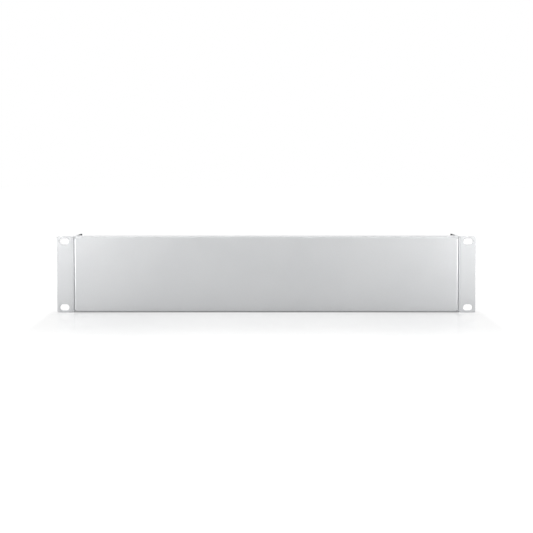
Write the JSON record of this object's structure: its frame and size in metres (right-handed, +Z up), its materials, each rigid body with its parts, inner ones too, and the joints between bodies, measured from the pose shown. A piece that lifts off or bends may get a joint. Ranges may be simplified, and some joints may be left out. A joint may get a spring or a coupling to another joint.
{
  "type": "rack blanking panel",
  "caption": "Blanking panel for a 19 inch rack, two units high, a folded steel face between two L-shaped ear brackets with rack slots.",
  "frame": {"origin": "centre of the four-slot rack pattern, in the plane of the ears' back faces, where the rack rails touch", "axes": "+X to the right seen from the front, +Y back into the rack, +Z up"},
  "size_m": [0.4826, 0.078, 0.0882],
  "materials": {
    "silver_paint": "satin silver-grey powder coat, fine texture",
    "zinc_plate": "bright zinc plating"
  },
  "bodies": {
    "root": {"front_panel": "silver_paint", "left_ear_bracket": "silver_paint", "right_ear_bracket": "silver_paint", "left_bracket_screws": "zinc_plate", "right_bracket_screws": "zinc_plate", "left_clinch_nuts": "zinc_plate", "right_clinch_nuts": "zinc_plate"}
  },
  "joints": []
}
